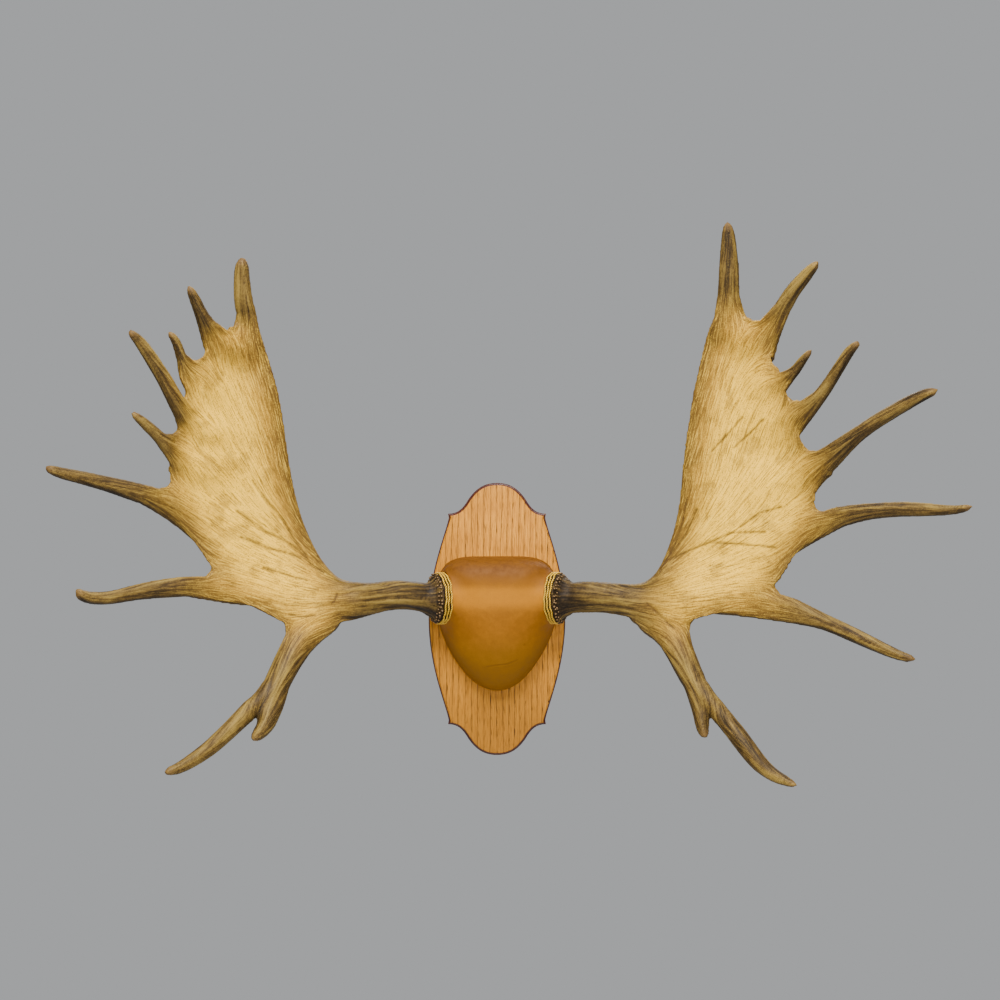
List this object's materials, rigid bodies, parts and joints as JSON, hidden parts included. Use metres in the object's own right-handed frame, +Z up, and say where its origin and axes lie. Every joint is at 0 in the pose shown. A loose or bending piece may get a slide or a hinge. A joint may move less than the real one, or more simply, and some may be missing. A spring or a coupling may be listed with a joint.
{
  "type": "moose antler wall mount",
  "caption": "Pair of broad palmate antlers on a leather-covered skull plate with gold braid bands, on a shaped oak plaque that hangs flat on a wall.",
  "frame": {"origin": "centre of the plaque's back face, on the wall", "axes": "+Z up, +Y into the wall (out of the plaque's back face), +X to the viewer's right along the antlers' spread; the front faces -Y"},
  "size_m": [1.2063, 0.327, 0.7573],
  "materials": {
    "antler": "natural shed-velvet antler bone: buff palm with fine fanning grain, olive-brown grooved beams, darker streaky tines and worn pale tips, satin",
    "skull_bone": "dry bone bedded in off-white filler, matt, hidden",
    "leather": "caramel leather stretched smooth over the form, low sheen, slightly mottled",
    "gold_braid": "twisted gold rayon cord, three side by side, silky",
    "oak": "golden oak, open vertical grain, satin varnish, with a dark stained routed edge",
    "steel": "zinc-plated countersunk screws",
    "brass": "brassed steel, stamped, lacquered"
  },
  "bodies": {
    "root": {"oak_plaque": "oak", "skull_plate": "skull_bone", "leather_cap": "leather", "keyhole_plate": "brass", "hanger_screw_1": "brass", "hanger_screw_2": "brass", "fixing_screw_1": "steel", "fixing_screw_2": "steel", "fixing_screw_3": "steel", "left_braid": "gold_braid", "left_tine_1": "antler", "left_tine_2": "antler", "left_tine_3": "antler", "left_tine_4": "antler", "left_tine_5": "antler", "left_tine_6": "antler", "left_tine_7": "antler", "left_beam_and_palm": "antler", "left_brow_prong_long": "antler", "left_brow_prong_short": "antler", "left_brow_branch": "antler", "right_braid": "gold_braid", "right_tine_1": "antler", "right_tine_2": "antler", "right_tine_3": "antler", "right_tine_4": "antler", "right_tine_5": "antler", "right_tine_6": "antler", "right_tine_7": "antler", "right_beam_and_palm": "antler", "right_brow_prong_long": "antler", "right_brow_prong_short": "antler", "right_brow_branch": "antler"}
  },
  "joints": []
}
